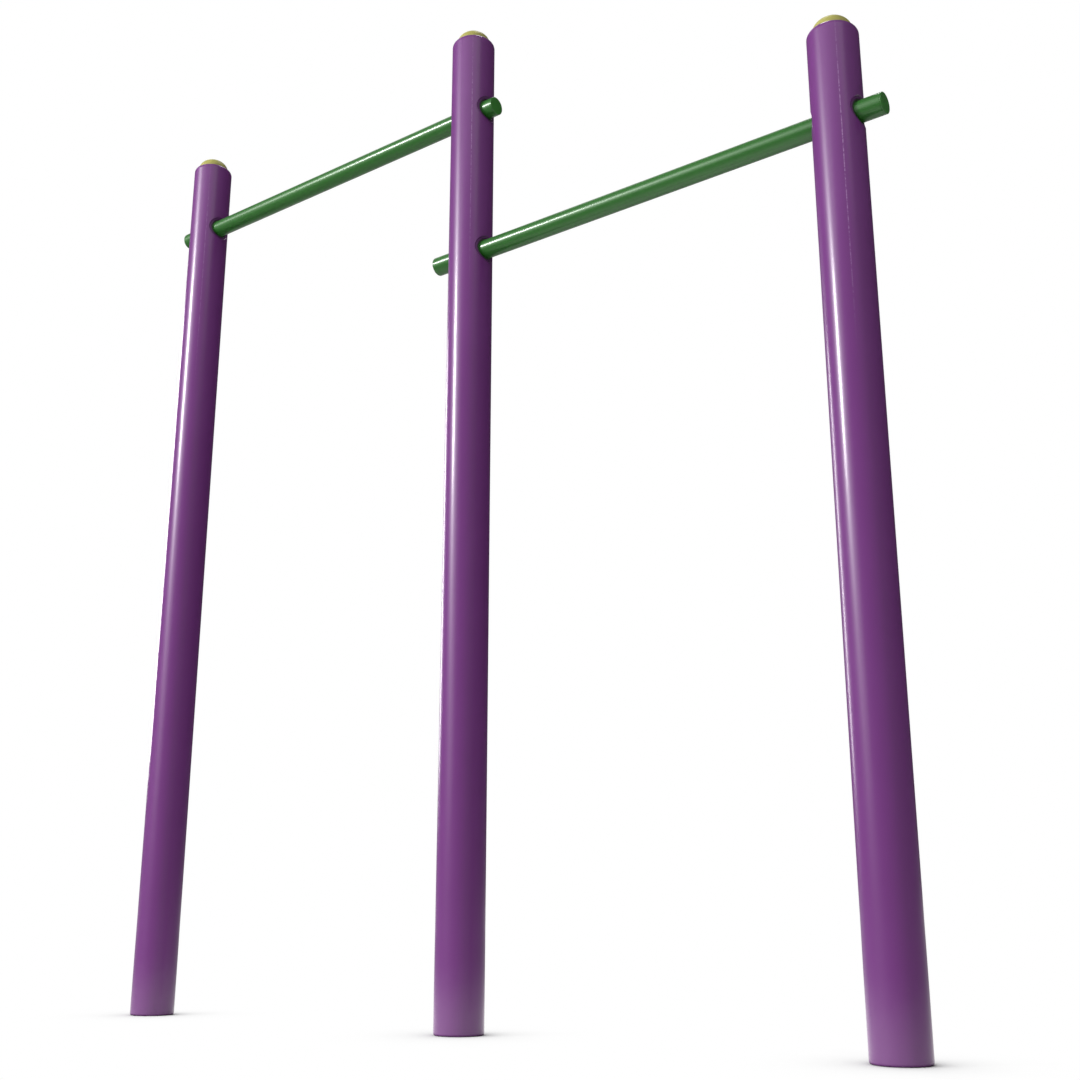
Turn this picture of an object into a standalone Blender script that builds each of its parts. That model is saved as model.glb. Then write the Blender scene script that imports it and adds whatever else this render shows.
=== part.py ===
"""Outdoor pull-up bar: three round steel posts in a row carry two round bars at two heights.

Metres, +Z up, +X along the bars. The origin is the centre of the middle post's foot, on the ground.
"""

import math

import bmesh
import bpy
from mathutils import Matrix

# Posts
POST_RADIUS = 0.05715
POST_WALL = 0.0063
LEFT_BAY = 1.078
RIGHT_BAY = 1.033
HIGH_POST_OVER_BAR = 0.220
LOW_POST_OVER_BAR = 0.217
SHOULDER_RADIUS = 0.014
FOOT_EDGE_RADIUS = 0.005
FOOT_PLATE_THICKNESS = 0.010
FOOT_PLATE_CHAMFER = 0.001

# Bars
BAR_RADIUS = 0.02415
BAR_WALL = 0.004
BAR_LENGTH = 1.253
HIGH_BAR_HEIGHT = 2.327
LOW_BAR_HEIGHT = 1.915
HIGH_BAR_LEFT_STUB = 0.035
LOW_BAR_LEFT_STUB = 0.0545

# Plugs in the bar ends
PLUG_FLANGE = 0.004
PLUG_EDGE_RADIUS = 0.002
PLUG_SKIRT_DEPTH = 0.018
PLUG_SKIRT_WALL = 0.003

# Bushes between the bars and the post walls
BUSH_WALL = 0.004
BUSH_RECESS = 0.0045
BUSH_LENGTH = 0.01465

# Dished seats round the cross holes
SEAT_DEPTH = 0.003
SEAT_FLOOR = 0.0035
SEAT_SLOPE = 0.003
HOLE_EDGE = 0.001
CUT_OVERSHOOT = 0.001

# Lock screws behind the bars
SCREW_RADIUS = 0.006
SCREW_SINK = 0.0008
SCREW_TIP_CHAMFER = 0.001
SOCKET_RADIUS = 0.0035
SOCKET_DEPTH = 0.006

# Caps on the posts
CAP_INSET = 0.012
CAP_HEIGHT = 0.035
CAP_WALL = 0.003
CAP_OPENING_RADIUS = 0.038
CAP_SKIRT_DEPTH = 0.028
CAP_BARB = 0.0012
CAP_BARB_HEIGHT = 0.005

# Space left between touching pieces, and the distance at which a turned shape's points merge
CLEARANCE = 0.0003
MERGE_DISTANCE = 0.000001

# Facets
POST_SEGMENTS = 42
BAR_SEGMENTS = 24
SCREW_SEGMENTS = 16
EDGE_STEPS = 2
SHOULDER_STEPS = 4
DOME_STEPS = 6
FULL_TURN = 2.0 * math.pi
SMOOTH_ANGLE = math.radians(30.0)

POST_BORE = POST_RADIUS - POST_WALL
CAP_RADIUS = POST_RADIUS - CAP_INSET
BUSH_BORE = BAR_RADIUS + CLEARANCE
BUSH_RADIUS = BUSH_BORE + BUSH_WALL
HOLE_RADIUS = BUSH_RADIUS + CLEARANCE
LEFT_POST_X = -LEFT_BAY
RIGHT_POST_X = RIGHT_BAY
HIGH_POST_HEIGHT = HIGH_BAR_HEIGHT + HIGH_POST_OVER_BAR
LOW_POST_HEIGHT = LOW_BAR_HEIGHT + LOW_POST_OVER_BAR


def clear_scene():
    for old in list(bpy.data.objects):
        bpy.data.objects.remove(old, do_unlink=True)


def make_material(name, color, roughness, metallic):
    material = bpy.data.materials.new(name)
    material.use_nodes = True
    shader = material.node_tree.nodes["Principled BSDF"]
    shader.inputs["Base Color"].default_value = (*color, 1.0)
    shader.inputs["Roughness"].default_value = roughness
    shader.inputs["Metallic"].default_value = metallic
    material.diffuse_color = (*color, 1.0)
    return material


def make_materials():
    return {
        "post_paint": make_material("post_paint", (0.19, 0.055, 0.22), 0.30, 0.0),
        "bar_paint": make_material("bar_paint", (0.045, 0.17, 0.035), 0.30, 0.0),
        "cap_plastic": make_material("cap_plastic", (0.42, 0.40, 0.045), 0.35, 0.0),
        "bush_nylon": make_material("bush_nylon", (0.012, 0.013, 0.012), 0.50, 0.0),
        "screw_steel": make_material("screw_steel", (0.55, 0.56, 0.57), 0.35, 1.0),
        "plate_zinc": make_material("plate_zinc", (0.50, 0.51, 0.52), 0.50, 1.0),
    }


def arc(centre_r, centre_z, radius, start, end, steps):
    """Points of a round stretch in a turned profile, from one angle to the other."""
    points = []
    for step in range(steps + 1):
        angle = start + (end - start) * step / steps
        points.append((centre_r + radius * math.cos(angle), centre_z + radius * math.sin(angle)))
    return points


def add_object(name, bm, material, parent, location=(0.0, 0.0, 0.0)):
    mesh = bpy.data.meshes.new(name)
    bm.to_mesh(mesh)
    bm.free()
    piece = bpy.data.objects.new(name, mesh)
    bpy.context.scene.collection.objects.link(piece)
    piece.parent = parent
    piece.location = location
    if material is not None:
        mesh.materials.append(material)
    mesh.shade_smooth()
    mesh.set_sharp_from_angle(angle=SMOOTH_ANGLE)
    return piece


def add_station(name, location):
    station = bpy.data.objects.new(name, None)
    bpy.context.scene.collection.objects.link(station)
    station.location = location
    return station


def turn(profile, segments, closed, first_angle=0.0):
    """Spin (radius, height) points once round the Z axis; an open profile starts and ends on it."""
    bm = bmesh.new()
    verts = []
    for radius, height in profile:
        verts.append(bm.verts.new((radius * math.cos(first_angle), radius * math.sin(first_angle), height)))
    edges = [bm.edges.new(pair) for pair in zip(verts, verts[1:])]
    if closed:
        edges.append(bm.edges.new((verts[-1], verts[0])))
    bmesh.ops.spin(
        bm,
        geom=verts + edges,
        cent=(0.0, 0.0, 0.0),
        axis=(0.0, 0.0, 1.0),
        angle=FULL_TURN,
        steps=segments,
        use_merge=True,
    )
    bmesh.ops.remove_doubles(bm, verts=bm.verts, dist=MERGE_DISTANCE)
    bmesh.ops.dissolve_degenerate(bm, edges=bm.edges, dist=MERGE_DISTANCE)
    bmesh.ops.recalc_face_normals(bm, faces=bm.faces)
    return bm


def lay_along_x(bm, toward):
    """Turn a shape made along +Z so that its +Z end points along +X (1) or -X (-1)."""
    quarter_turn = Matrix.Rotation(toward * math.pi / 2.0, 3, "Y")
    bmesh.ops.rotate(bm, cent=(0.0, 0.0, 0.0), matrix=quarter_turn, verts=bm.verts)


def loft(rings):
    """Join rings of points, one after another and the last to the first, into one closed tube wall."""
    bm = bmesh.new()
    loops = [[bm.verts.new(point) for point in ring] for ring in rings]
    count = len(loops[0])
    for near, far in zip(loops, loops[1:] + loops[:1]):
        for i in range(count):
            j = (i + 1) % count
            bm.faces.new((near[i], near[j], far[j], far[i]))
    bmesh.ops.recalc_face_normals(bm, faces=bm.faces)
    return bm


def turn_on_post(profile, closed):
    """Spin with the post's facets: the middle of one faces along X, where the bar's hole is cut."""
    return turn(profile, POST_SEGMENTS, closed, first_angle=math.pi / POST_SEGMENTS)


def turn_screw(profile):
    """Spin with the screw's facets, half a step round from the post's nearest edge."""
    return turn(profile, SCREW_SEGMENTS, closed=False, first_angle=math.pi / SCREW_SEGMENTS)


def post_profile(height):
    """Tube wall with a rounded foot and a shoulder that is drawn in until it meets the cap's edge."""
    quarter = math.pi / 2.0
    bend_radius = POST_RADIUS - SHOULDER_RADIUS
    sweep = math.acos((SHOULDER_RADIUS - CAP_INSET) / SHOULDER_RADIUS)
    bend_height = height - SHOULDER_RADIUS * math.sin(sweep)
    points = [(POST_BORE, 0.0)]
    points += arc(
        POST_RADIUS - FOOT_EDGE_RADIUS, FOOT_EDGE_RADIUS, FOOT_EDGE_RADIUS, -quarter, 0.0, EDGE_STEPS
    )
    points += arc(bend_radius, bend_height, SHOULDER_RADIUS, 0.0, sweep, SHOULDER_STEPS)
    points += [(CAP_OPENING_RADIUS, height), (CAP_OPENING_RADIUS, height - POST_WALL)]
    points += arc(bend_radius, bend_height, SHOULDER_RADIUS - POST_WALL, sweep, 0.0, EDGE_STEPS)
    return points


def skin_reach(skin_radius, across):
    """How far along X a round skin of this radius lies, at a distance across the post."""
    return math.sqrt(skin_radius ** 2 - across ** 2)


def ring_on_skin(ring_radius, skin_radius, lift, side):
    """Ring round the bar's axis that lies on a post's round skin, or lifted off it along the bar."""
    points = []
    for i in range(BAR_SEGMENTS):
        angle = FULL_TURN * i / BAR_SEGMENTS
        y = ring_radius * math.cos(angle)
        z = ring_radius * math.sin(angle)
        points.append((side * (skin_reach(skin_radius, y) + lift), y, z))
    return points


def flat_ring(ring_radius, x):
    angles = [FULL_TURN * i / BAR_SEGMENTS for i in range(BAR_SEGMENTS)]
    return [(x, ring_radius * math.cos(a), ring_radius * math.sin(a)) for a in angles]


def seat_rings(side):
    """Half of the cross hole's cutter: the hole, its broken edge, the seat's floor and slope, the skin."""
    edge_radius = HOLE_RADIUS + HOLE_EDGE
    floor_radius = edge_radius + SEAT_FLOOR
    clear_radius = floor_radius + SEAT_SLOPE * (SEAT_DEPTH + CUT_OVERSHOOT) / SEAT_DEPTH
    return [
        ring_on_skin(HOLE_RADIUS, POST_RADIUS, -SEAT_DEPTH - HOLE_EDGE, side),
        ring_on_skin(edge_radius, POST_RADIUS, -SEAT_DEPTH, side),
        ring_on_skin(floor_radius, POST_RADIUS, -SEAT_DEPTH, side),
        ring_on_skin(clear_radius, POST_RADIUS, CUT_OVERSHOOT, side),
        flat_ring(clear_radius, side * (POST_RADIUS + 2.0 * CUT_OVERSHOOT)),
    ]


def make_hole_cutter(name, station):
    """Spool-shaped cutter for a bar's way through a post, with a dished seat in both skins."""
    rings = list(reversed(seat_rings(-1.0))) + seat_rings(1.0)
    bm = bmesh.new()
    loops = [[bm.verts.new(point) for point in ring] for ring in rings]
    for near, far in zip(loops, loops[1:]):
        for i in range(BAR_SEGMENTS):
            j = (i + 1) % BAR_SEGMENTS
            bm.faces.new((near[i], near[j], far[j], far[i]))
    for loop, side in ((loops[0], -1.0), (loops[-1], 1.0)):
        centre = bm.verts.new((side * (POST_RADIUS + 2.0 * CUT_OVERSHOOT), 0.0, 0.0))
        for i in range(BAR_SEGMENTS):
            bm.faces.new((loop[i], loop[(i + 1) % BAR_SEGMENTS], centre))
    bmesh.ops.recalc_face_normals(bm, faces=bm.faces)
    return hide_cutter(add_object(name, bm, None, station))


def make_screw_hole_cutter(name, station):
    """Drill for the lock screw, through the post's rear wall only."""
    low = POST_BORE - POST_WALL
    high = POST_RADIUS + CUT_OVERSHOOT
    profile = [(0.0, low), (SCREW_RADIUS + CLEARANCE, low), (SCREW_RADIUS + CLEARANCE, high), (0.0, high)]
    cutter = add_object(name, turn_screw(profile), None, station)
    cutter.rotation_euler = (-math.pi / 2.0, 0.0, 0.0)
    return hide_cutter(cutter)


def hide_cutter(cutter):
    cutter.hide_render = True
    cutter.display_type = "WIRE"
    return cutter


def cut(piece, cutter):
    boolean = piece.modifiers.new(cutter.name, "BOOLEAN")
    boolean.operation = "DIFFERENCE"
    boolean.solver = "EXACT"
    boolean.object = cutter


def make_post(name, station, height, crossings, paint):
    """A tube with a drawn-in shoulder, and a cross hole and a screw hole where each bar goes through."""
    post = add_object(name, turn_on_post(post_profile(height), closed=True), paint, station)
    for crossing in crossings:
        cut(post, make_hole_cutter(crossing.name + "_hole", crossing))
        cut(post, make_screw_hole_cutter(crossing.name + "_screw_hole", crossing))
    return post


def make_cap(name, station, height, plastic):
    """Dome that closes the post, with a hollow skirt and a snap barb under the post's lip."""
    base = height + CLEARANCE
    skirt = CAP_OPENING_RADIUS - CLEARANCE
    lip = height - POST_WALL - CLEARANCE
    inner_height = CAP_HEIGHT - CAP_WALL
    quarter = math.pi / 2.0
    profile = []
    for step in range(DOME_STEPS + 1):
        angle = quarter * (1.0 - step / DOME_STEPS)
        profile.append((CAP_RADIUS * math.cos(angle), base + CAP_HEIGHT * math.sin(angle)))
    profile += [(skirt, base), (skirt, lip), (skirt + CAP_BARB, lip), (skirt, lip - CAP_BARB_HEIGHT)]
    profile += [(skirt, height - CAP_SKIRT_DEPTH), (skirt - CAP_WALL, height - CAP_SKIRT_DEPTH)]
    for step in range(SHOULDER_STEPS + 1):
        angle = quarter * step / SHOULDER_STEPS
        profile.append(((skirt - CAP_WALL) * math.cos(angle), base + inner_height * math.sin(angle)))
    profile[0] = (0.0, profile[0][1])
    profile[-1] = (0.0, profile[-1][1])
    return add_object(name, turn_on_post(profile, closed=False), plastic, station)


def make_foot_plate(name, station, zinc):
    """Disc welded into the post's lower end, flush with the ground."""
    radius = POST_BORE - CLEARANCE
    profile = [
        (0.0, 0.0),
        (radius - FOOT_PLATE_CHAMFER, 0.0),
        (radius, FOOT_PLATE_CHAMFER),
        (radius, FOOT_PLATE_THICKNESS),
        (0.0, FOOT_PLATE_THICKNESS),
    ]
    return add_object(name, turn_on_post(profile, closed=False), zinc, station)


def make_bar(name, station, paint):
    """Straight tube between the flanges of its two end plugs."""
    bore = BAR_RADIUS - BAR_WALL
    start = PLUG_FLANGE + CLEARANCE
    end = BAR_LENGTH - start
    profile = [(bore, start), (BAR_RADIUS, start), (BAR_RADIUS, end), (bore, end)]
    bm = turn(profile, BAR_SEGMENTS, closed=True)
    lay_along_x(bm, 1)
    return add_object(name, bm, paint, station)


def make_plug(name, station, x, toward, paint):
    """Flat cap with a rounded edge, and a skirt that goes into the bar's bore."""
    skirt = BAR_RADIUS - BAR_WALL - CLEARANCE
    depth = PLUG_FLANGE + PLUG_SKIRT_DEPTH
    profile = [(0.0, 0.0)]
    profile += arc(
        BAR_RADIUS - PLUG_EDGE_RADIUS, PLUG_EDGE_RADIUS, PLUG_EDGE_RADIUS, -math.pi / 2.0, 0.0, EDGE_STEPS
    )
    profile += [(BAR_RADIUS, PLUG_FLANGE), (skirt, PLUG_FLANGE), (skirt, depth)]
    profile += [(skirt - PLUG_SKIRT_WALL, depth), (skirt - PLUG_SKIRT_WALL, PLUG_FLANGE), (0.0, PLUG_FLANGE)]
    bm = turn(profile, BAR_SEGMENTS, closed=False)
    lay_along_x(bm, -toward)
    return add_object(name, bm, paint, station, (x, 0.0, 0.0))


def make_bush(name, station, side, nylon):
    """Ring between the bar and one wall of a post; its outer end follows the post, below the skin."""
    outer_end = POST_RADIUS - BUSH_RECESS
    inner_end = side * (outer_end - BUSH_LENGTH)
    rings = [
        ring_on_skin(BUSH_RADIUS, outer_end, 0.0, side),
        flat_ring(BUSH_RADIUS, inner_end),
        flat_ring(BUSH_BORE, inner_end),
        ring_on_skin(BUSH_BORE, outer_end, 0.0, side),
    ]
    return add_object(name, loft(rings), nylon, station)


def make_lock_screw(name, station, steel):
    """Socket set screw in the post's rear wall, with its tip at the bar."""
    tip = BAR_RADIUS + CLEARANCE
    head = POST_RADIUS - SCREW_SINK
    profile = [
        (0.0, tip),
        (SCREW_RADIUS - SCREW_TIP_CHAMFER, tip),
        (SCREW_RADIUS, tip + SCREW_TIP_CHAMFER),
        (SCREW_RADIUS, head),
        (0.0, head),
    ]
    screw = add_object(name, turn_screw(profile), steel, station)
    screw.rotation_euler = (-math.pi / 2.0, 0.0, 0.0)
    bm = bmesh.new()
    bmesh.ops.create_cone(
        bm,
        cap_ends=True,
        segments=6,
        radius1=SOCKET_RADIUS,
        radius2=SOCKET_RADIUS,
        depth=2.0 * SOCKET_DEPTH,
    )
    socket = add_object(name + "_socket", bm, None, station, (0.0, head, 0.0))
    socket.rotation_euler = (-math.pi / 2.0, 0.0, 0.0)
    cut(screw, hide_cutter(socket))
    return screw


def add_bar(name, height, left_post_x, right_post_x, left_stub, materials):
    """One bar with its plugs, bushes and lock screws; returns its crossings with the two posts."""
    start = left_post_x - POST_RADIUS - left_stub
    station = add_station(name + "_station", (start, 0.0, height))
    make_bar(name, station, materials["bar_paint"])
    make_plug(name + "_left_plug", station, 0.0, -1, materials["bar_paint"])
    make_plug(name + "_right_plug", station, BAR_LENGTH, 1, materials["bar_paint"])
    crossings = []
    for end, post_x, outer_side in (("left", left_post_x, -1.0), ("right", right_post_x, 1.0)):
        crossing = add_station(f"{name}_{end}_crossing", (post_x, 0.0, height))
        make_bush(f"{name}_{end}_outer_bush", crossing, outer_side, materials["bush_nylon"])
        make_bush(f"{name}_{end}_inner_bush", crossing, -outer_side, materials["bush_nylon"])
        make_lock_screw(f"{name}_{end}_lock_screw", crossing, materials["screw_steel"])
        crossings.append(crossing)
    return crossings


def add_post(name, x, height, crossings, materials):
    station = add_station(name + "_station", (x, 0.0, 0.0))
    make_post(name, station, height, crossings, materials["post_paint"])
    make_cap(name + "_cap", station, height, materials["cap_plastic"])
    make_foot_plate(name + "_foot_plate", station, materials["plate_zinc"])


def build():
    clear_scene()
    materials = make_materials()
    high_left, high_middle = add_bar(
        "high_bar", HIGH_BAR_HEIGHT, LEFT_POST_X, 0.0, HIGH_BAR_LEFT_STUB, materials
    )
    low_middle, low_right = add_bar(
        "low_bar", LOW_BAR_HEIGHT, 0.0, RIGHT_POST_X, LOW_BAR_LEFT_STUB, materials
    )
    add_post("left_post", LEFT_POST_X, HIGH_POST_HEIGHT, [high_left], materials)
    add_post("middle_post", 0.0, HIGH_POST_HEIGHT, [high_middle, low_middle], materials)
    add_post("right_post", RIGHT_POST_X, LOW_POST_HEIGHT, [low_right], materials)


build()
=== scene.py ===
import math

import bmesh
import bpy
from mathutils import Matrix, Vector


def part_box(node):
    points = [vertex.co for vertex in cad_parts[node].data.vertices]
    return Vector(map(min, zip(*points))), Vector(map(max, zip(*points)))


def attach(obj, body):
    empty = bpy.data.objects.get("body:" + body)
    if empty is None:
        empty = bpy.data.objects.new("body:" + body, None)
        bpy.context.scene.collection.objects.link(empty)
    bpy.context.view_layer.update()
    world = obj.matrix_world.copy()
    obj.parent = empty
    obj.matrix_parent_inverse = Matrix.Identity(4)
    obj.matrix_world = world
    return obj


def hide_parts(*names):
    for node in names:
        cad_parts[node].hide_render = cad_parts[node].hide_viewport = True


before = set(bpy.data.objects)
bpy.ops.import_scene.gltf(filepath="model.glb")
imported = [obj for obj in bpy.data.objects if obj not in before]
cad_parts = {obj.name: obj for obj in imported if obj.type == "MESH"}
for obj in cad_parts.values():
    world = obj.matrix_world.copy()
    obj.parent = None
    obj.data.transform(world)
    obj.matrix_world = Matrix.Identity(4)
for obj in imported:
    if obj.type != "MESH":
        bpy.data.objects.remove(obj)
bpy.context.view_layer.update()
print("frame loaded with", len(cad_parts), "solids")

fullTurn = 2 * math.pi
quarterTurn = math.pi / 2


# sizes that the frame already settles

def boxCentre(node):
    low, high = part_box(node)
    return (low + high) / 2


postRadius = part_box("middle_post")[1].y
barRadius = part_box("high_bar")[1].y
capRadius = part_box("middle_post_cap")[1].y
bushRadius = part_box("high_bar_left_outer_bush")[1].y
fitGap = 0.0003  # air left between pieces that touch, as in the frame


# shared shader groups: each puts out only masks, tones and heights

def newGroup(name, inputs, outputs):
    group = bpy.data.node_groups.new(name, "ShaderNodeTree")
    for socketName, socketType, value in inputs:
        socket = group.interface.new_socket(socketName, in_out="INPUT", socket_type=socketType)
        if value is not None:
            socket.default_value = value
    for socketName, socketType in outputs:
        group.interface.new_socket(socketName, in_out="OUTPUT", socket_type=socketType)
    return group, group.nodes.new("NodeGroupInput"), group.nodes.new("NodeGroupOutput")


def addNode(tree, kind, **settings):
    node = tree.nodes.new(kind)
    for setting, value in settings.items():
        setattr(node, setting, value)
    return node


def addMath(tree, operation, first, second=None):
    node = addNode(tree, "ShaderNodeMath", operation=operation)
    for slot, value in enumerate((first, second)):
        if value is None:
            continue
        if isinstance(value, (int, float)):
            node.inputs[slot].default_value = value
        else:
            tree.links.new(value, node.inputs[slot])
    return node.outputs[0]


def addNoise(tree, vector, scale, detail=2.0, roughness=0.5):
    node = addNode(tree, "ShaderNodeTexNoise")
    tree.links.new(vector, node.inputs["Vector"])
    if isinstance(scale, (int, float)):
        node.inputs["Scale"].default_value = scale
    else:
        tree.links.new(scale, node.inputs["Scale"])
    node.inputs["Detail"].default_value = detail
    node.inputs["Roughness"].default_value = roughness
    return node.outputs["Fac"]


def addRamp(tree, value, start, end, low=0.0, high=1.0):
    node = addNode(tree, "ShaderNodeMapRange", interpolation_type="SMOOTHSTEP")
    tree.links.new(value, node.inputs["Value"])
    node.inputs["From Min"].default_value = start
    node.inputs["From Max"].default_value = end
    node.inputs["To Min"].default_value = low
    node.inputs["To Max"].default_value = high
    return node.outputs["Result"]


effects = {
    "finerBy": 4.5,  # how many times finer the grain is than the ripple it lies in
    "finerShare": 0.15,
    "toneEdges": (0.2, 0.8),
    "speckles": 900.0,  # to a metre
    "speckleEdges": (0.52, 0.72),
    "dustAndSheenWaves": 22.0,  # to a metre, in the upper edge of the pale band near the ground
}


def makeOrangePeel():
    # long soft ripple of sprayed paint with a finer grain in it
    group, given, result = newGroup(
        "orangePeel",
        [("Vector", "NodeSocketVector", None), ("Ripples", "NodeSocketFloat", 220.0)],
        [("Height", "NodeSocketFloat")],
    )
    ripple = addNoise(group, given.outputs["Vector"], given.outputs["Ripples"], 1.0)
    finer = addMath(group, "MULTIPLY", given.outputs["Ripples"], effects["finerBy"])
    grain = addNoise(group, given.outputs["Vector"], finer, 2.0)
    height = addMath(group, "ADD", ripple, addMath(group, "MULTIPLY", grain, effects["finerShare"]))
    group.links.new(height, result.inputs["Height"])
    return group


def makeToneDrift():
    # slow change of tone over the surface, 0 to 1 round 0.5, with fine speckle
    group, given, result = newGroup(
        "toneDrift",
        [("Vector", "NodeSocketVector", None), ("Patches", "NodeSocketFloat", 6.0)],
        [("Tone", "NodeSocketFloat"), ("Speckle", "NodeSocketFloat")],
    )
    slow = addNoise(group, given.outputs["Vector"], given.outputs["Patches"], 1.0)
    group.links.new(addRamp(group, slow, *effects["toneEdges"]), result.inputs["Tone"])
    fine = addNoise(group, given.outputs["Vector"], effects["speckles"], 1.0)
    group.links.new(addRamp(group, fine, *effects["speckleEdges"]), result.inputs["Speckle"])
    return group


def makeGroundDustAndSheen():
    # pale band that thins out upwards from the ground, with a broken upper edge: partly dust, partly a
    # painted reflection of the white floor
    group, given, result = newGroup(
        "groundDustAndSheen",
        [
            ("Vector", "NodeSocketVector", None),
            ("Reach", "NodeSocketFloat", 0.25),
            ("Broken", "NodeSocketFloat", 0.08),
        ],
        [("Mask", "NodeSocketFloat")],
    )
    split = addNode(group, "ShaderNodeSeparateXYZ")
    group.links.new(given.outputs["Vector"], split.inputs[0])
    waves = addNoise(group, given.outputs["Vector"], effects["dustAndSheenWaves"])
    breakup = addMath(group, "SUBTRACT", waves, 0.5)
    shift = addMath(group, "MULTIPLY", breakup, given.outputs["Broken"])
    height = addMath(group, "ADD", split.outputs["Z"], shift)
    share = addMath(group, "DIVIDE", height, given.outputs["Reach"])
    group.links.new(addRamp(group, share, 0.0, 1.0, 1.0, 0.0), result.inputs["Mask"])
    return group


orangePeel = makeOrangePeel()
toneDrift = makeToneDrift()
groundDustAndSheen = makeGroundDustAndSheen()


def useGroup(tree, group, vector, **values):
    node = addNode(tree, "ShaderNodeGroup", node_tree=group)
    tree.links.new(vector, node.inputs["Vector"])
    for socketName, value in values.items():
        node.inputs[socketName].default_value = value
    return node


def mixColours(tree, amount, first, second):
    node = addNode(tree, "ShaderNodeMix", data_type="RGBA")
    for socketName, value in (("Factor_Float", amount), ("A_Color", first), ("B_Color", second)):
        socket = next(s for s in node.inputs if s.identifier == socketName)
        if isinstance(value, tuple):
            socket.default_value = (*value, 1.0)
        else:
            tree.links.new(value, socket)
    return next(s for s in node.outputs if s.identifier == "Result_Color")


def startMaterial(name, **values):
    material = bpy.data.materials.new(name)
    material.use_nodes = True
    tree = material.node_tree
    shader = tree.nodes["Principled BSDF"]
    for socketName, value in values.items():
        shader.inputs[socketName.replace("_", " ")].default_value = value
    where = addNode(tree, "ShaderNodeTexCoord").outputs["Object"]
    return material, tree, shader, where


def addBump(tree, shader, height, distance):
    node = addNode(tree, "ShaderNodeBump")
    node.inputs["Strength"].default_value = 1.0
    node.inputs["Distance"].default_value = distance
    tree.links.new(height, node.inputs["Height"])
    tree.links.new(node.outputs["Normal"], shader.inputs["Normal"])


print("shader groups ready")


# materials

postPaint = {
    "colour": (0.144, 0.0238, 0.177),
    "deeperColour": (0.137, 0.0217, 0.168),
    "patches": 5.0,  # tone patches to a metre
    "seamColour": (0.46, 0.28, 0.50),
    "seamRises": (0.04, 0.22),  # depths below the top between which the weld line comes out
    "seamFades": (0.35, 0.8),  # and between which it fades away again
    "seamWidth": 0.0018,
    "seamHeight": 0.00004,
    "seamAtTop": 0.3,  # share of the line that already shows at the very top
    "seamDots": 150.0,  # dots to a metre, into which the line breaks up
    "seamDotEdges": (0.36, 0.60),
    # paler band near the ground: partly dust, partly a painted reflection of the white floor
    "dustAndSheenColour": (0.30, 0.17, 0.32),
    "dustAndSheenReach": 0.17,
    "dustAndSheenBroken": 0.05,
    "dustAndSheenAmount": 0.24,
    "seatShadeColour": (0.045, 0.010, 0.055),  # painted shade in the recesses round the holes
    "seatShadeAmount": 0.45,
    "seatDepths": (0.0004, 0.0016),  # depths under the skin at which it sets in and is full
    "seatHeights": (0.01, 0.03),  # it keeps off the foot's edge
    "seatTops": (0.03, 0.05),  # and off the shoulder, measured down from the top
    "seatRoughness": 0.38,
    "roughness": 0.33,
    "roughnessSpread": 0.02,
    "speckleRoughness": 0.02,
    "lacquer": 0.22,  # clear coat, which draws the crisp core of each highlight
    "lacquerRoughness": 0.14,
    "peelRipples": 130.0,
    "peelDepth": 0.000005,
}


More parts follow.
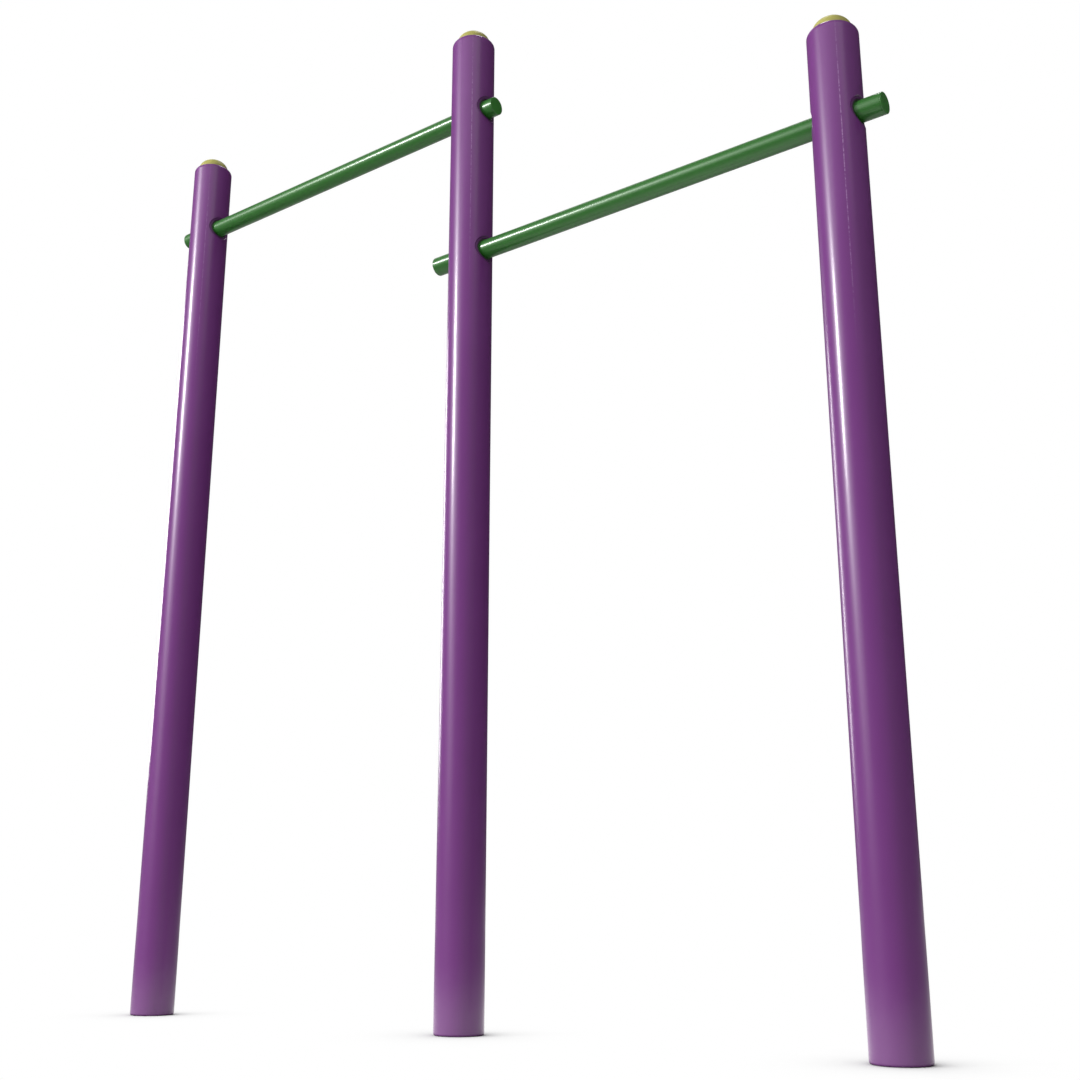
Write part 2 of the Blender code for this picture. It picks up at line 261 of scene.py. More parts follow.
def makePostPaint(name, centreX, top, seam):
    paint = postPaint
    material, tree, shader, where = startMaterial(
        name, IOR=1.5, Specular_IOR_Level=0.4, Coat_Roughness=paint["lacquerRoughness"]
    )
    centred = addNode(tree, "ShaderNodeMapping", vector_type="TEXTURE")
    centred.inputs["Location"].default_value = (centreX, 0, 0)
    centred.inputs["Rotation"].default_value = (0, 0, math.radians(seam["heading"]))
    tree.links.new(where, centred.inputs["Vector"])
    place = centred.outputs["Vector"]
    drift = useGroup(tree, toneDrift, place, Patches=paint["patches"])
    peel = useGroup(tree, orangePeel, place, Ripples=paint["peelRipples"])
    dustAndSheen = useGroup(tree, groundDustAndSheen, place, Reach=paint["dustAndSheenReach"], Broken=paint["dustAndSheenBroken"])
    split = addNode(tree, "ShaderNodeSeparateXYZ")
    tree.links.new(place, split.inputs[0])
    height = split.outputs["Z"]

    # the tube's lengthwise weld, along the line that the mapping turns to +X
    turn = addMath(tree, "ARCTAN2", split.outputs["Y"], split.outputs["X"])
    across = addMath(tree, "MULTIPLY", addMath(tree, "ABSOLUTE", turn), postRadius)
    line = addRamp(tree, across, 0.0, paint["seamWidth"], 1.0, 0.0)
    depth = addMath(tree, "SUBTRACT", top, height)
    dots = addRamp(tree, addNoise(tree, place, paint["seamDots"], 3.0, 0.7), *paint["seamDotEdges"])
    rise = addRamp(tree, depth, *paint["seamRises"], paint["seamAtTop"], 1.0)
    fade = addRamp(tree, depth, *paint["seamFades"], 1.0, 0.0)
    dotted = addMath(tree, "MULTIPLY", line, dots)
    dotted = addMath(tree, "MULTIPLY", dotted, rise)
    dotted = addMath(tree, "MULTIPLY", dotted, fade)
    shown = addMath(tree, "MULTIPLY", dotted, seam["show"])

    # painted shade darkens the colour wherever the skin lies deeper than the straight wall, below the
    # shoulder
    level = addNode(tree, "ShaderNodeCombineXYZ")
    reach = addNode(tree, "ShaderNodeVectorMath", operation="LENGTH")
    for axis in "XY":
        tree.links.new(split.outputs[axis], level.inputs[axis])
    tree.links.new(level.outputs[0], reach.inputs[0])
    setsIn, full = paint["seatDepths"]
    near, far = paint["seatTops"]
    sunk = addRamp(tree, reach.outputs["Value"], postRadius - full, postRadius - setsIn, 1.0, 0.0)
    sunk = addMath(tree, "MULTIPLY", sunk, addRamp(tree, height, top - far, top - near, 1.0, 0.0))
    sunk = addMath(tree, "MULTIPLY", sunk, addRamp(tree, height, *paint["seatHeights"]))
    paintedSeatShade = addMath(tree, "MULTIPLY", sunk, paint["seatShadeAmount"])
    # partly dust, partly painted reflection of the white floor: paler near the ground
    dustAndSheenShare = addMath(tree, "MULTIPLY", dustAndSheen.outputs["Mask"], paint["dustAndSheenAmount"])

    colour = mixColours(tree, drift.outputs["Tone"], paint["deeperColour"], paint["colour"])
    colour = mixColours(tree, shown, colour, paint["seamColour"])
    # painted shade in the recessed seats round the holes
    colour = mixColours(tree, paintedSeatShade, colour, paint["seatShadeColour"])
    colour = mixColours(tree, dustAndSheenShare, colour, paint["dustAndSheenColour"])
    tree.links.new(colour, shader.inputs["Base Color"])
    # the clear coat is left off in the recesses
    outsideSeats = addMath(tree, "SUBTRACT", 1.0, sunk)
    tree.links.new(addMath(tree, "MULTIPLY", outsideSeats, paint["lacquer"]), shader.inputs["Coat Weight"])

    spread = addMath(tree, "MULTIPLY", drift.outputs["Tone"], paint["roughnessSpread"])
    rough = addMath(tree, "ADD", spread, paint["roughness"])
    speckle = addMath(tree, "MULTIPLY", drift.outputs["Speckle"], paint["speckleRoughness"])
    rough = addMath(tree, "ADD", rough, speckle)
    dull = addMath(tree, "MULTIPLY", sunk, paint["seatRoughness"])
    tree.links.new(addMath(tree, "MAXIMUM", rough, dull), shader.inputs["Roughness"])

    ridge = addMath(tree, "MULTIPLY", line, paint["seamHeight"] / paint["peelDepth"])
    addBump(tree, shader, addMath(tree, "ADD", peel.outputs["Height"], ridge), paint["peelDepth"])
    return material


barPaint = {
    "colour": (0.0175, 0.116, 0.012),
    "deeperColour": (0.0157, 0.109, 0.0106),
    "endLitColour": (0.026, 0.175, 0.017),  # painted light that makes the flat ends lighter than the tube
    "flatFrom": 0.75,  # how squarely a face looks along X before it counts as an end
    "patches": 7.0,
    "sheenTint": (0.84, 1.0, 0.83),
    "roughness": 0.34,
    "roughnessSpread": 0.02,
    "lacquer": 0.25,
    "lacquerRoughness": 0.14,
    "peelRipples": 150.0,
    "peelDepth": 0.000004,
}


def makeBarPaint():
    paint = barPaint
    material, tree, shader, where = startMaterial(
        "barPaint", IOR=1.5, Specular_IOR_Level=0.4, Specular_Tint=(*paint["sheenTint"], 1.0),
        Coat_Weight=paint["lacquer"], Coat_Roughness=paint["lacquerRoughness"],
    )
    drift = useGroup(tree, toneDrift, where, Patches=paint["patches"])
    peel = useGroup(tree, orangePeel, where, Ripples=paint["peelRipples"])
    colour = mixColours(tree, drift.outputs["Tone"], paint["deeperColour"], paint["colour"])
    facing = addNode(tree, "ShaderNodeSeparateXYZ")
    tree.links.new(addNode(tree, "ShaderNodeNewGeometry").outputs["Normal"], facing.inputs[0])
    # painted light: faces that look along X, the flat ends, get a lighter green
    flatEnd = addRamp(tree, addMath(tree, "ABSOLUTE", facing.outputs["X"]), paint["flatFrom"], 1.0)
    tree.links.new(mixColours(tree, flatEnd, colour, paint["endLitColour"]), shader.inputs["Base Color"])
    spread = addMath(tree, "MULTIPLY", drift.outputs["Tone"], paint["roughnessSpread"])
    tree.links.new(addMath(tree, "ADD", spread, paint["roughness"]), shader.inputs["Roughness"])
    addBump(tree, shader, peel.outputs["Height"], paint["peelDepth"])
    return material


capPlastic = {
    "ior": 1.49,
    "colour": (0.385, 0.360, 0.085),
    "deeperColour": (0.345, 0.322, 0.074),
    "patches": 30.0,
    "roughness": 0.42,
    "roughnessSpread": 0.08,
    "grains": 700.0,
    "grainDepth": 0.00001,
}
bushNylon = {
    "ior": 1.53,
    "colour": (0.024, 0.026, 0.024),
    "deeperColour": (0.014, 0.016, 0.014),
    "patches": 60.0,
    "roughness": 0.50,
    "roughnessSpread": 0.12,
    "grains": 1100.0,
    "grainDepth": 0.00003,
}


def makePlastic(name, plastic):
    material, tree, shader, where = startMaterial(name, IOR=plastic["ior"])
    drift = useGroup(tree, toneDrift, where, Patches=plastic["patches"])
    grain = useGroup(tree, orangePeel, where, Ripples=plastic["grains"])
    colour = mixColours(tree, drift.outputs["Tone"], plastic["deeperColour"], plastic["colour"])
    tree.links.new(colour, shader.inputs["Base Color"])
    spread = addMath(tree, "MULTIPLY", drift.outputs["Tone"], plastic["roughnessSpread"])
    tree.links.new(addMath(tree, "ADD", spread, plastic["roughness"]), shader.inputs["Roughness"])
    addBump(tree, shader, grain.outputs["Height"], plastic["grainDepth"])
    return material


screwSteel = {"colour": (0.56, 0.56, 0.57), "roughness": 0.30, "patches": 90.0}
plateZinc = {"colour": (0.50, 0.51, 0.53), "roughness": 0.46, "patches": 25.0}
bareMetal = {
    "stainColour": (0.30, 0.29, 0.28),
    "stainFrom": 0.55,
    "stainAmount": 0.5,
    "roughnessSpread": 0.15,
    "grains": 1600.0,
    "grainDepth": 0.00002,
}


def makeBareMetal(name, metal):
    material, tree, shader, where = startMaterial(name, Metallic=1.0)
    drift = useGroup(tree, toneDrift, where, Patches=metal["patches"])
    grain = useGroup(tree, orangePeel, where, Ripples=bareMetal["grains"])
    stain = addRamp(tree, drift.outputs["Tone"], bareMetal["stainFrom"], 1.0)
    stain = addMath(tree, "MULTIPLY", stain, bareMetal["stainAmount"])
    mixed = mixColours(tree, stain, metal["colour"], bareMetal["stainColour"])
    tree.links.new(mixed, shader.inputs["Base Color"])
    spread = addMath(tree, "MULTIPLY", drift.outputs["Tone"], bareMetal["roughnessSpread"])
    tree.links.new(addMath(tree, "ADD", spread, metal["roughness"]), shader.inputs["Roughness"])
    addBump(tree, shader, grain.outputs["Height"], bareMetal["grainDepth"])
    return material


barPaintMaterial = makeBarPaint()
capMaterial = makePlastic("capPlastic", capPlastic)
bushMaterial = makePlastic("bushNylon", bushNylon)
screwMaterial = makeBareMetal("screwSteel", screwSteel)
plateMaterial = makeBareMetal("plateZinc", plateZinc)
print("materials ready")


# modelling helpers

def spinLine(points, steps, closed=False):
    # (radius, height) line spun once round Z
    bm = bmesh.new()
    verts = [bm.verts.new((radius, 0, height)) for radius, height in points]
    following = verts[1:] + verts[:1] if closed else verts[1:]
    edges = [bm.edges.new(pair) for pair in zip(verts, following)]
    bmesh.ops.spin(
        bm, geom=verts + edges, cent=(0, 0, 0), axis=(0, 0, 1), angle=fullTurn, steps=steps, use_merge=True
    )
    bmesh.ops.remove_doubles(bm, verts=bm.verts, dist=1e-6)
    return bm


def spinSection(corners, steps):
    # closed section that makes a ring or a tube
    bm = spinLine(corners, steps, closed=True)
    # many small turns drift a little, so every vertex goes back on its own circle
    for vert in bm.verts:
        reach = vert.co.xy.length
        radius = min((radius for radius, height in corners), key=lambda value: abs(value - reach))
        vert.co.xy = vert.co.xy * (radius / max(reach, 1e-9))
    bmesh.ops.recalc_face_normals(bm, faces=bm.faces)
    return bm


def spinSolid(points, steps):
    # line from the axis and back to it, which closes into a solid
    bm = spinLine(points, steps)
    bmesh.ops.dissolve_degenerate(bm, edges=bm.edges, dist=1e-6)
    bmesh.ops.recalc_face_normals(bm, faces=bm.faces)
    return bm


def edgesAt(bm, radius, height):
    # the ring of edges that lies at one radius and height
    def liesThere(vert):
        return abs(vert.co.xy.length - radius) < 1e-5 and abs(vert.co.z - height) < 1e-5

    return [edge for edge in bm.edges if all(liesThere(vert) for vert in edge.verts)]


def roundRing(bm, radius, height, size, segments):
    bmesh.ops.bevel(
        bm,
        geom=edgesAt(bm, radius, height),
        offset=size,
        offset_type="OFFSET",
        segments=segments,
        profile=0.5,
        affect="EDGES",
        material=-1,
    )


def addLoops(bm, heights):
    for height in heights:
        everything = bm.verts[:] + bm.edges[:] + bm.faces[:]
        bmesh.ops.bisect_plane(bm, geom=everything, dist=1e-6, plane_co=(0, 0, height), plane_no=(0, 0, 1))


def holdFlat(bm, low, high, inset=0.0002):
    # loops just inside the ends of a long straight wall keep its shading straight
    addLoops(bm, (low + inset, high - inset))


def layAlongX(bm, toward=1):
    bmesh.ops.rotate(bm, cent=(0, 0, 0), matrix=Matrix.Rotation(toward * quarterTurn, 3, "Y"), verts=bm.verts)


def move(bm, spot):
    bmesh.ops.translate(bm, vec=Vector(spot), verts=bm.verts)


def skinDrop(across):
    # how far the post's round skin falls back from its crown at a distance across it
    return postRadius - math.sqrt(postRadius ** 2 - across ** 2)


def wrapOnSkin(bm, fromReach):
    # bends the ends of a shape that lies along X so that they follow the skin
    for vert in bm.verts:
        if abs(vert.co.x) > fromReach:
            vert.co.x -= math.copysign(skinDrop(vert.co.y), vert.co.x)


def plainObject(name, bm):
    mesh = bpy.data.meshes.new(name)
    bm.to_mesh(mesh)
    bm.free()
    shape = bpy.data.objects.new(name, mesh)
    bpy.context.scene.collection.objects.link(shape)
    return shape


def cutAway(bm, cutters):
    # takes the cutters out of the shape and gives back the cut shape
    shape = plainObject("cutting", bm)
    for cutter in cutters:
        modifier = shape.modifiers.new(cutter.name, "BOOLEAN")
        modifier.operation = "DIFFERENCE"
        modifier.solver = "EXACT"
        modifier.object = cutter
    cutMesh = bpy.data.meshes.new_from_object(shape.evaluated_get(bpy.context.evaluated_depsgraph_get()))
    result = bmesh.new()
    result.from_mesh(cutMesh)
    for done in [shape, *cutters]:
        bpy.data.objects.remove(done, do_unlink=True)
    bpy.data.meshes.remove(cutMesh)
    bmesh.ops.remove_doubles(result, verts=result.verts, dist=2e-6)
    bmesh.ops.dissolve_degenerate(result, edges=result.edges, dist=2e-6)
    return result


def addPiece(name, bm, material, nodes, sharpAngle=35):
    piece = plainObject(name, bm)
    piece.data.materials.clear()
    piece.data.materials.append(material)
    piece.data.shade_smooth()
    piece.data.set_sharp_from_angle(angle=math.radians(sharpAngle))
    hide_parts(*nodes)
    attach(piece, "root")


# posts

postTube = {
    "wall": 0.0063,
    "footEdge": 0.005,
    "footSegments": 7,
    "lipRadius": 0.038,  # opening at the top that the cap's skirt goes into
    "steps": 288,
    "shoulder": 0.014,  # rounding that draws the top in towards the cap
    "shoulderSegments": 14,
    "innerSegments": 5,  # of the same rounding inside
    "seatDepth": 0.003,  # dished seat round each cross hole
    "seatFloor": 0.0035,
    "seatSlope": 0.003,
    "seatFillet": 0.0010,  # rounding between the seat's floor and its slope
    "seatFilletSteps": 4,
    "holeEdge": 0.001,
    "holeEdgeSteps": 5,
    "holeSteps": 96,
    "cutterReach": 0.001,  # how far the cutters stand past the skin
    "loopSpacing": 0.003,
    "screwHoleRadius": 0.0063,
    "screwHoleChamfer": 0.0009,
    "screwHoleSteps": 48,
}
holeRadius = bushRadius + fitGap

postCrossings = {
    "left_post": ["high_bar"],
    "middle_post": ["high_bar", "low_bar"],
    "right_post": ["low_bar"],
}
seams = {  # heading of each post's weld line in degrees, and how strongly it shows
    "left_post": {"heading": -48, "show": 0.3},
    "middle_post": {"heading": -52, "show": 0.4},
    "right_post": {"heading": -60, "show": 0.6},
}


def roundCorner(before, corner, after, radius, steps):
    # points of an arc that replaces one corner of a (radius, reach) line
    corner = Vector(corner)
    arms = [(Vector(point) - corner).normalized() for point in (before, after)]
    opening = arms[0].angle(arms[1])
    back = radius / math.tan(opening / 2)
    centre = corner + (arms[0] + arms[1]).normalized() * radius / math.sin(opening / 2)
    start, end = (corner + arm * back - centre for arm in arms)
    return [tuple(centre + start.slerp(end, step / steps) * radius) for step in range(steps + 1)]


def makeHoleCutter(spot):
    # spool along the bar: straight hole with a broken edge, and a dished seat in both skins
    depth, reach = postTube["seatDepth"], postTube["cutterReach"]
    floor, past = postRadius - depth, postRadius + reach
    floorRadius = holeRadius + postTube["holeEdge"] + postTube["seatFloor"]
    wide = floorRadius + postTube["seatSlope"] / depth * (depth + reach)
    corners = [(holeRadius, 0), (holeRadius, floor), (floorRadius, floor), (wide, past)]
    half = roundCorner(*corners[:3], postTube["holeEdge"], postTube["holeEdgeSteps"])
    half += roundCorner(*corners[1:], postTube["seatFillet"], postTube["seatFilletSteps"])
    half.append(corners[-1])
    outline = [(radius, -height) for radius, height in reversed(half)] + half
    bm = spinLine(outline, postTube["holeSteps"])
    layAlongX(bm)
    wrapOnSkin(bm, postRadius / 2)
    rims = [edge for edge in bm.edges if edge.is_boundary]
    ends = bmesh.ops.extrude_edge_only(bm, edges=rims)["geom"]
    for vert in (item for item in ends if isinstance(item, bmesh.types.BMVert)):
        vert.co.x = math.copysign(postRadius + 2 * reach, vert.co.x)
    bmesh.ops.holes_fill(bm, edges=[edge for edge in bm.edges if edge.is_boundary], sides=0)
    bmesh.ops.recalc_face_normals(bm, faces=bm.faces)
    move(bm, spot)
    return plainObject("crossHole", bm)


def makeScrewHoleCutter(spot):
    # drilling for the lock screw through the rear wall, chamfered at the skin
    radius, chamfer = postTube["screwHoleRadius"], postTube["screwHoleChamfer"]
    start, past = postRadius - 2 * postTube["wall"], postRadius + 2 * postTube["cutterReach"]
    wide = radius + chamfer + past - postRadius
    corners = [(0, start), (radius, start), (radius, postRadius - chamfer), (wide, past), (0, past)]
    bm = spinSolid(corners, postTube["screwHoleSteps"])
    bmesh.ops.rotate(bm, cent=(0, 0, 0), matrix=Matrix.Rotation(-quarterTurn, 3, "X"), verts=bm.verts)
    move(bm, spot)
    return plainObject("screwHole", bm)


def makePost(node):
    centre = boxCentre(node)
    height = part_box(node)[1].z
    wall, lip = postTube["wall"], postTube["lipRadius"]
    shoulder = postTube["shoulder"]
    bore, ceiling = postRadius - wall, height - wall
    bm = spinSection(
        [(bore, 0), (postRadius, 0), (postRadius, height), (lip, height), (lip, ceiling), (bore, ceiling)],
        postTube["steps"],
    )
    roundRing(bm, postRadius, height, shoulder, postTube["shoulderSegments"])
    roundRing(bm, postRadius, 0, postTube["footEdge"], postTube["footSegments"])
    roundRing(bm, bore, ceiling, shoulder - wall, postTube["innerSegments"])
    holdFlat(bm, postTube["footEdge"], height - shoulder)
    spots = [Vector((0, 0, boxCentre(bar).z)) for bar in postCrossings[node]]
    heights = []
    for spot in spots:
        reach = holeRadius + 3 * postTube["seatFloor"]
        count = math.ceil(reach / postTube["loopSpacing"])
        heights += [spot.z + step * postTube["loopSpacing"] for step in range(-count, count + 1)]
    addLoops(bm, heights)
    bm = cutAway(bm, [makeHoleCutter(spot) for spot in spots] + [makeScrewHoleCutter(spot) for spot in spots])
    move(bm, (centre.x, 0, 0))
    material = makePostPaint(node.replace("_post", "PostPaint"), centre.x, height, seams[node])
    addPiece(node + "_tube", bm, material, [node])
    print(node, "modelled")


for postNode in postCrossings:
    makePost(postNode)


# caps

cap = {
    "wall": 0.003,
    "skirtDepth": 0.028,
    "baseEdge": 0.0010,  # small rounding where the dome meets the post
    "baseSegments": 4,
    "steps": 96,
    "domeRings": 64,
}


def makeCap(node):
    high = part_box(node)[1]
    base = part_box(node.replace("_cap", ""))[1].z + fitGap
    bm = bmesh.new()
    bmesh.ops.create_uvsphere(bm, u_segments=cap["steps"], v_segments=cap["domeRings"], radius=capRadius)
    bmesh.ops.scale(bm, vec=(1, 1, (high.z - base) / capRadius), verts=bm.verts)
    everything = bm.verts[:] + bm.edges[:] + bm.faces[:]
    bmesh.ops.bisect_plane(
        bm, geom=everything, dist=1e-6, plane_co=(0, 0, 0), plane_no=(0, 0, 1), clear_inner=True
    )
    skirtRadius = postTube["lipRadius"] - fitGap
    for radius, depth in ((skirtRadius, 0.0), (skirtRadius, cap["skirtDepth"])):
        rim = [edge for edge in bm.edges if edge.is_boundary]
        made = bmesh.ops.extrude_edge_only(bm, edges=rim)["geom"]
        for vert in (item for item in made if isinstance(item, bmesh.types.BMVert)):
            vert.co.xy *= radius / vert.co.xy.length
            vert.co.z = -depth
    bmesh.ops.recalc_face_normals(bm, faces=bm.faces)
    roundRing(bm, capRadius, 0, cap["baseEdge"], cap["baseSegments"])
    bmesh.ops.solidify(bm, geom=bm.faces[:], thickness=cap["wall"])
    move(bm, (boxCentre(node).x, 0, base))
    addPiece(node + "_dome", bm, capMaterial, [node])


for postNode in postCrossings:
    makeCap(postNode + "_cap")
print("caps modelled")


# bars, their plugs and bushes

barTube = {
    "wall": 0.004,
    "steps": 192,
    "endEdge": 0.00015,
    "endSegments": 2,
    "plugFlange": 0.004,
    "plugEdge": 0.002,
    "plugSegments": 6,
    "plugSkirtDepth": 0.018,
    "plugSkirtWall": 0.003,
}


def makeBar(node):
    low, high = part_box(node)
    length, bore = high.x - low.x, barRadius - barTube["wall"]
    bm = spinSection([(bore, 0), (barRadius, 0), (barRadius, length), (bore, length)], barTube["steps"])
    for height in (0, length):
        roundRing(bm, barRadius, height, barTube["endEdge"], barTube["endSegments"])
    holdFlat(bm, barTube["endEdge"], length - barTube["endEdge"])
    layAlongX(bm)
    move(bm, (low.x, 0, boxCentre(node).z))
    addPiece(node + "_tube", bm, barPaintMaterial, [node])


def makePlug(node, toward):
    low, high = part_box(node)
    flange, depth = barTube["plugFlange"], barTube["plugFlange"] + barTube["plugSkirtDepth"]
    skirt = barRadius - barTube["wall"] - fitGap
    hollow = skirt - barTube["plugSkirtWall"]
    corners = [(0, 0), (barRadius, 0), (barRadius, flange), (skirt, flange), (skirt, depth)]
    corners += [(hollow, depth), (hollow, flange), (0, flange)]
    bm = spinSolid(corners, barTube["steps"])
    roundRing(bm, barRadius, 0, barTube["plugEdge"], barTube["plugSegments"])
    roundRing(bm, barRadius, flange, barTube["endEdge"], barTube["endSegments"])
    holdFlat(bm, barTube["plugEdge"], flange - barTube["endEdge"])
    layAlongX(bm, -toward)
    move(bm, (high.x if toward > 0 else low.x, 0, boxCentre(node).z))
    addPiece(node + "_end", bm, barPaintMaterial, [node])


bush = {"recess": 0.0045, "innerEnd": 0.038, "wall": 0.004, "edge": 0.0007, "segments": 3, "steps": 96}


def makeBush(node, postX, side):
    outer = postRadius - bush["recess"]
    boreRadius = bushRadius - bush["wall"]
    inner = bush["innerEnd"]
    corners = [(boreRadius, inner), (bushRadius, inner), (bushRadius, outer), (boreRadius, outer)]
    bm = spinSection(corners, bush["steps"])
    for radius in (boreRadius, bushRadius):
        roundRing(bm, radius, outer, bush["edge"], bush["segments"])
    holdFlat(bm, inner, outer - bush["edge"])
    layAlongX(bm, side)
    wrapOnSkin(bm, outer - 2 * bush["edge"])
    move(bm, (postX, 0, boxCentre(node).z))
    addPiece(node + "_ring", bm, bushMaterial, [node])


screw = {
    "radius": 0.006,
    "edge": 0.0006,
    "segments": 3,
    "steps": 48,
    "socketRadius": 0.0035,
    "socketSides": 6,
    "socketDepth": 0.006,
}


def makeLockScrew(node):
    # set screw with a socket; made pointing up, then turned to the rear
    low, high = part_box(node)
    length = high.y - low.y
    bm = bmesh.new()
    bmesh.ops.create_circle(bm, segments=screw["steps"], radius=screw["radius"])
    bmesh.ops.create_circle(bm, segments=screw["socketSides"], radius=screw["socketRadius"])
    bmesh.ops.bridge_loops(bm, edges=bm.edges[:])
    halfway = (screw["radius"] + screw["socketRadius"]) / 2
    rims = [edge for edge in bm.edges if edge.is_boundary]
    outside = [edge for edge in rims if edge.verts[0].co.length > halfway]
    socket = [edge for edge in rims if edge.verts[0].co.length < halfway]
    for rim, depth in ((outside, length), (socket, screw["socketDepth"])):
        made = bmesh.ops.extrude_edge_only(bm, edges=rim)["geom"]
        bottom = [item for item in made if isinstance(item, bmesh.types.BMVert)]
        bmesh.ops.translate(bm, vec=(0, 0, -depth), verts=bottom)
    bmesh.ops.holes_fill(bm, edges=[edge for edge in bm.edges if edge.is_boundary], sides=0)
    bmesh.ops.recalc_face_normals(bm, faces=bm.faces)
    roundRing(bm, screw["radius"], 0, screw["edge"], screw["segments"])
    roundRing(bm, screw["radius"], -length, screw["edge"], screw["segments"])
    holdFlat(bm, screw["edge"] - length, -screw["edge"])
    bmesh.ops.rotate(bm, cent=(0, 0, 0), matrix=Matrix.Rotation(-quarterTurn, 3, "X"), verts=bm.verts)
    move(bm, (boxCentre(node).x, high.y, boxCentre(node).z))
    addPiece(node + "_stud", bm, screwMaterial, [node], sharpAngle=25)


barEnds = {
    "high_bar": {"left": "left_post", "right": "middle_post"},
    "low_bar": {"left": "middle_post", "right": "right_post"},
}
for barNode, ends in barEnds.items():
    makeBar(barNode)
    for end, toward in (("left", -1), ("right", 1)):
        makePlug(f"{barNode}_{end}_plug", toward)
        postX = boxCentre(ends[end]).x
        makeBush(f"{barNode}_{end}_outer_bush", postX, toward)
        makeBush(f"{barNode}_{end}_inner_bush", postX, -toward)
        makeLockScrew(f"{barNode}_{end}_lock_screw")
    print(barNode, "modelled with its plugs, bushes and screws")

for postNode in postCrossings:
    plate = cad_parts[postNode + "_foot_plate"]
    for materialSlot in plate.material_slots:
        materialSlot.material = plateMaterial
print("foot plates finished")


# floor, backdrop and light

studio = {
    "floorRadius": 14.0,
    "floorColour": 0.62,
    "contactReach": 0.30,  # the floor is plain white but for the shadow this near to the feet
    "openEdges": (0.45, 0.97),
    "sheetEdge": (1.7, 3.2),  # in reflections the white sheet dims between these distances
    "sheetNear": 1.0,
    "sheetFar": 0.42,
    "patchGain": 1.7,  # and its middle, between the posts, is brighter still
    "patchEdge": (0.7, 1.5),
    "frontLight": 0.50,
    "rearLight": 0.06,
    "darkHeading": 105,  # degrees; the side of the surround that stays dim
    "darkEdges": (-0.8, 0.8),
    "backdropTop": 0.02,  # how high the white backdrop stands in reflections
}


def makeFloor():
    bm = bmesh.new()
    bmesh.ops.create_circle(bm, cap_ends=True, segments=128, radius=studio["floorRadius"])
    move(bm, (0, 0, -fitGap))
    floor = plainObject("floor", bm)
    material = bpy.data.materials.new("paperFloor")
    material.use_nodes = True
    tree = material.node_tree
    tree.nodes.clear()
    output = addNode(tree, "ShaderNodeOutputMaterial")
    where = addNode(tree, "ShaderNodeTexCoord").outputs["Object"]
    away = addNode(tree, "ShaderNodeVectorMath", operation="LENGTH")
    tree.links.new(where, away.inputs[0])
    distance = away.outputs["Value"]
    sheet = addRamp(tree, distance, *studio["sheetEdge"], studio["sheetNear"], studio["sheetFar"])
    patch = addRamp(tree, distance, *studio["patchEdge"], studio["patchGain"], 1.0)
    sheet = addMath(tree, "MULTIPLY", sheet, patch)
    contact = addNode(tree, "ShaderNodeAmbientOcclusion")
    contact.inputs["Distance"].default_value = studio["contactReach"]
    openFloor = addRamp(tree, contact.outputs["AO"], *studio["openEdges"])
    sheet = addMath(tree, "MULTIPLY", sheet, openFloor)  # reflections show the contact shadow too
    paper = addNode(tree, "ShaderNodeBsdfDiffuse")
    paper.inputs["Color"].default_value = (studio["floorColour"],) * 3 + (1,)
    white = addNode(tree, "ShaderNodeEmission")
    rays = addNode(tree, "ShaderNodeLightPath").outputs
    mirrored = addMath(tree, "MAXIMUM", rays["Is Glossy Ray"], rays["Is Transmission Ray"])
    byLens = addMath(tree, "MULTIPLY", openFloor, rays["Is Camera Ray"])
    seen = addMath(tree, "ADD", byLens, mirrored)
    glow = addMath(tree, "ADD", rays["Is Camera Ray"], addMath(tree, "MULTIPLY", sheet, mirrored))
    tree.links.new(glow, white.inputs["Strength"])
    mix = addNode(tree, "ShaderNodeMixShader")
    tree.links.new(seen, mix.inputs["Fac"])
    tree.links.new(paper.outputs[0], mix.inputs[1])
    tree.links.new(white.outputs[0], mix.inputs[2])
    tree.links.new(mix.outputs[0], output.inputs["Surface"])
    floor.data.materials.append(material)


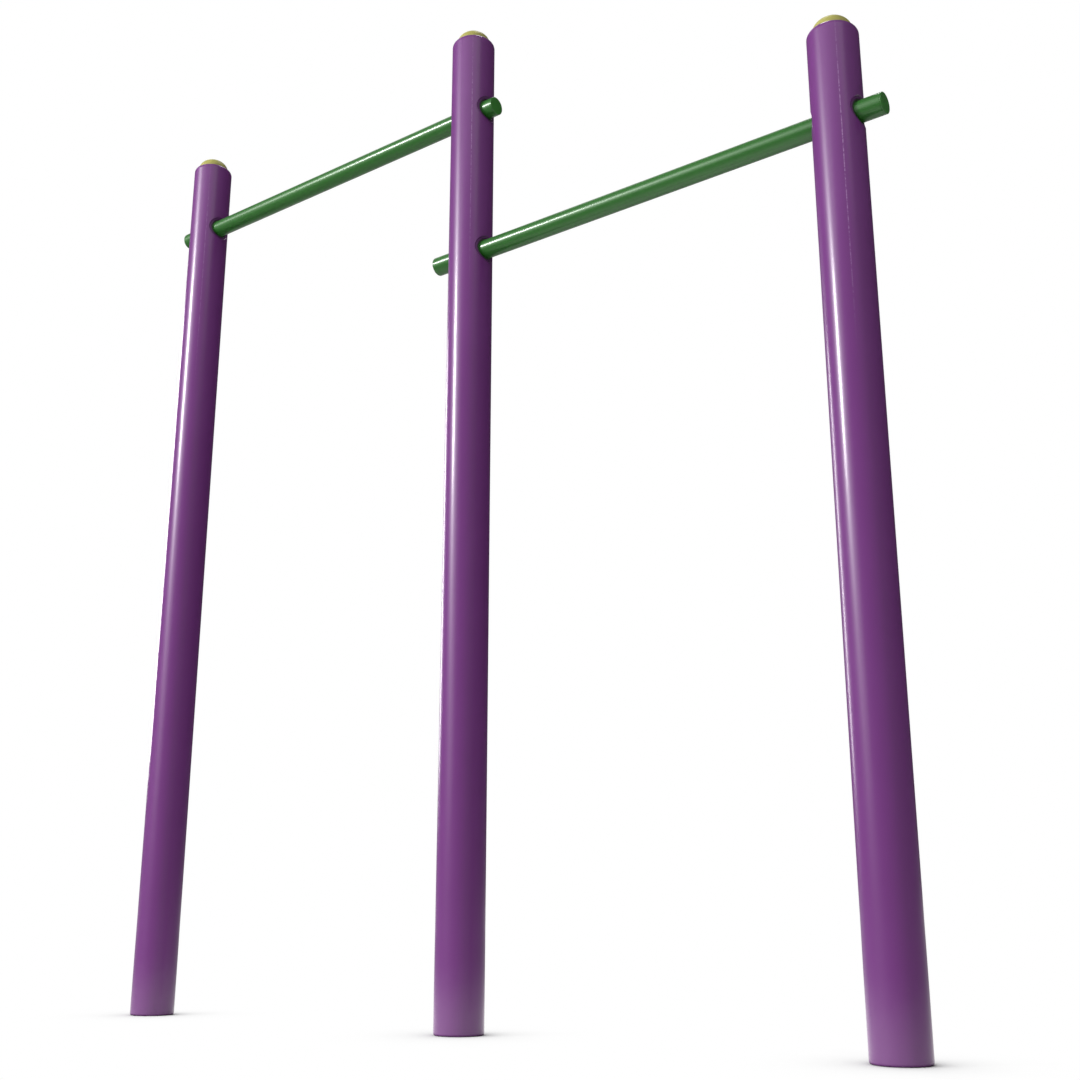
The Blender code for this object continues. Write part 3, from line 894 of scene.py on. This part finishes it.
def makeSurround():
    world = bpy.data.worlds.new("studio")
    bpy.context.scene.world = world
    world.use_nodes = True
    tree = world.node_tree
    tree.nodes.clear()
    output = addNode(tree, "ShaderNodeOutputWorld")
    plain = addNode(tree, "ShaderNodeBackground")
    plain.inputs["Color"].default_value = (1, 1, 1, 1)
    white = addNode(tree, "ShaderNodeBackground")
    white.inputs["Color"].default_value = (1, 1, 1, 1)
    direction = addNode(tree, "ShaderNodeTexCoord").outputs["Generated"]
    split = addNode(tree, "ShaderNodeSeparateXYZ")
    tree.links.new(direction, split.inputs[0])
    toDark = math.radians(studio["darkHeading"])
    across = addNode(tree, "ShaderNodeVectorMath", operation="DOT_PRODUCT")
    across.inputs[1].default_value = (math.cos(toDark), math.sin(toDark), 0)
    tree.links.new(direction, across.inputs[0])
    side = across.outputs["Value"]
    fade = addRamp(tree, side, *studio["darkEdges"], studio["frontLight"], studio["rearLight"])
    tree.links.new(fade, plain.inputs["Strength"])
    low = addRamp(tree, split.outputs["Z"], 0.0, studio["backdropTop"], 1.0, 0.0)
    rays = addNode(tree, "ShaderNodeLightPath").outputs
    glossy = addMath(tree, "MULTIPLY", rays["Is Glossy Ray"], low)
    seen = addMath(tree, "MAXIMUM", rays["Is Camera Ray"], glossy)
    seen = addMath(tree, "MAXIMUM", seen, rays["Is Transmission Ray"])
    mix = addNode(tree, "ShaderNodeMixShader")
    tree.links.new(seen, mix.inputs["Fac"])
    tree.links.new(plain.outputs[0], mix.inputs[1])
    tree.links.new(white.outputs[0], mix.inputs[2])
    tree.links.new(mix.outputs[0], output.inputs["Surface"])


# heading and lift are in degrees, seen from the middle of the object
lamps = {
    "key": {"heading": -126.8, "lift": 23.6, "distance": 12.5, "size": (1.9, 2.2), "watts": 1250},
    "keyGlow": {"heading": -112, "lift": 18, "distance": 9.6, "size": (4.6, 6.0), "watts": 125},
    "edgeStrip": {"heading": 165, "lift": 13.8, "distance": 9.0, "size": (1.4, 3.9), "watts": 235},
    "topFront": {"heading": -63, "lift": 47, "distance": 8.5, "size": (12.0, 3.3), "watts": 170},
    "topBack": {"heading": 142, "lift": 58, "distance": 8.0, "size": (4.6, 2.2), "watts": 32},
    "overhead": {"heading": 100, "lift": 75, "distance": 6.0, "size": (0.8, 0.8), "watts": 28},
}
lampAim = Vector((0, 0, 1.27))


def makeLamp(name, values):
    data = bpy.data.lights.new(name, "AREA")
    data.shape = "RECTANGLE"
    data.size, data.size_y = values["size"]
    data.energy = values["watts"]
    lamp = bpy.data.objects.new(name, data)
    bpy.context.scene.collection.objects.link(lamp)
    lift, heading = math.radians(values["lift"]), math.radians(values["heading"])
    toward = Vector((math.cos(lift) * math.cos(heading), math.cos(lift) * math.sin(heading), math.sin(lift)))
    lamp.location = lampAim + toward * values["distance"]
    lamp.rotation_euler = toward.to_track_quat("Z", "Y").to_euler()


makeFloor()
makeSurround()
for lampName, lampValues in lamps.items():
    makeLamp(lampName, lampValues)
print("studio ready")


# camera

lens = {"spot": (2.0578, -2.4406, 0.2545), "tilt": 15.5947, "turn": 36.8838, "focal": 44.944, "sensor": 36.0}

cameraData = bpy.data.cameras.new("camera")
cameraData.sensor_width = lens["sensor"]
cameraData.lens = lens["focal"]
camera = bpy.data.objects.new("camera", cameraData)
bpy.context.scene.collection.objects.link(camera)
camera.location = lens["spot"]
camera.rotation_euler = (math.radians(90 + lens["tilt"]), 0, math.radians(lens["turn"]))
bpy.context.scene.camera = camera
bpy.context.scene.view_settings.view_transform = "Standard"
print("camera ready")
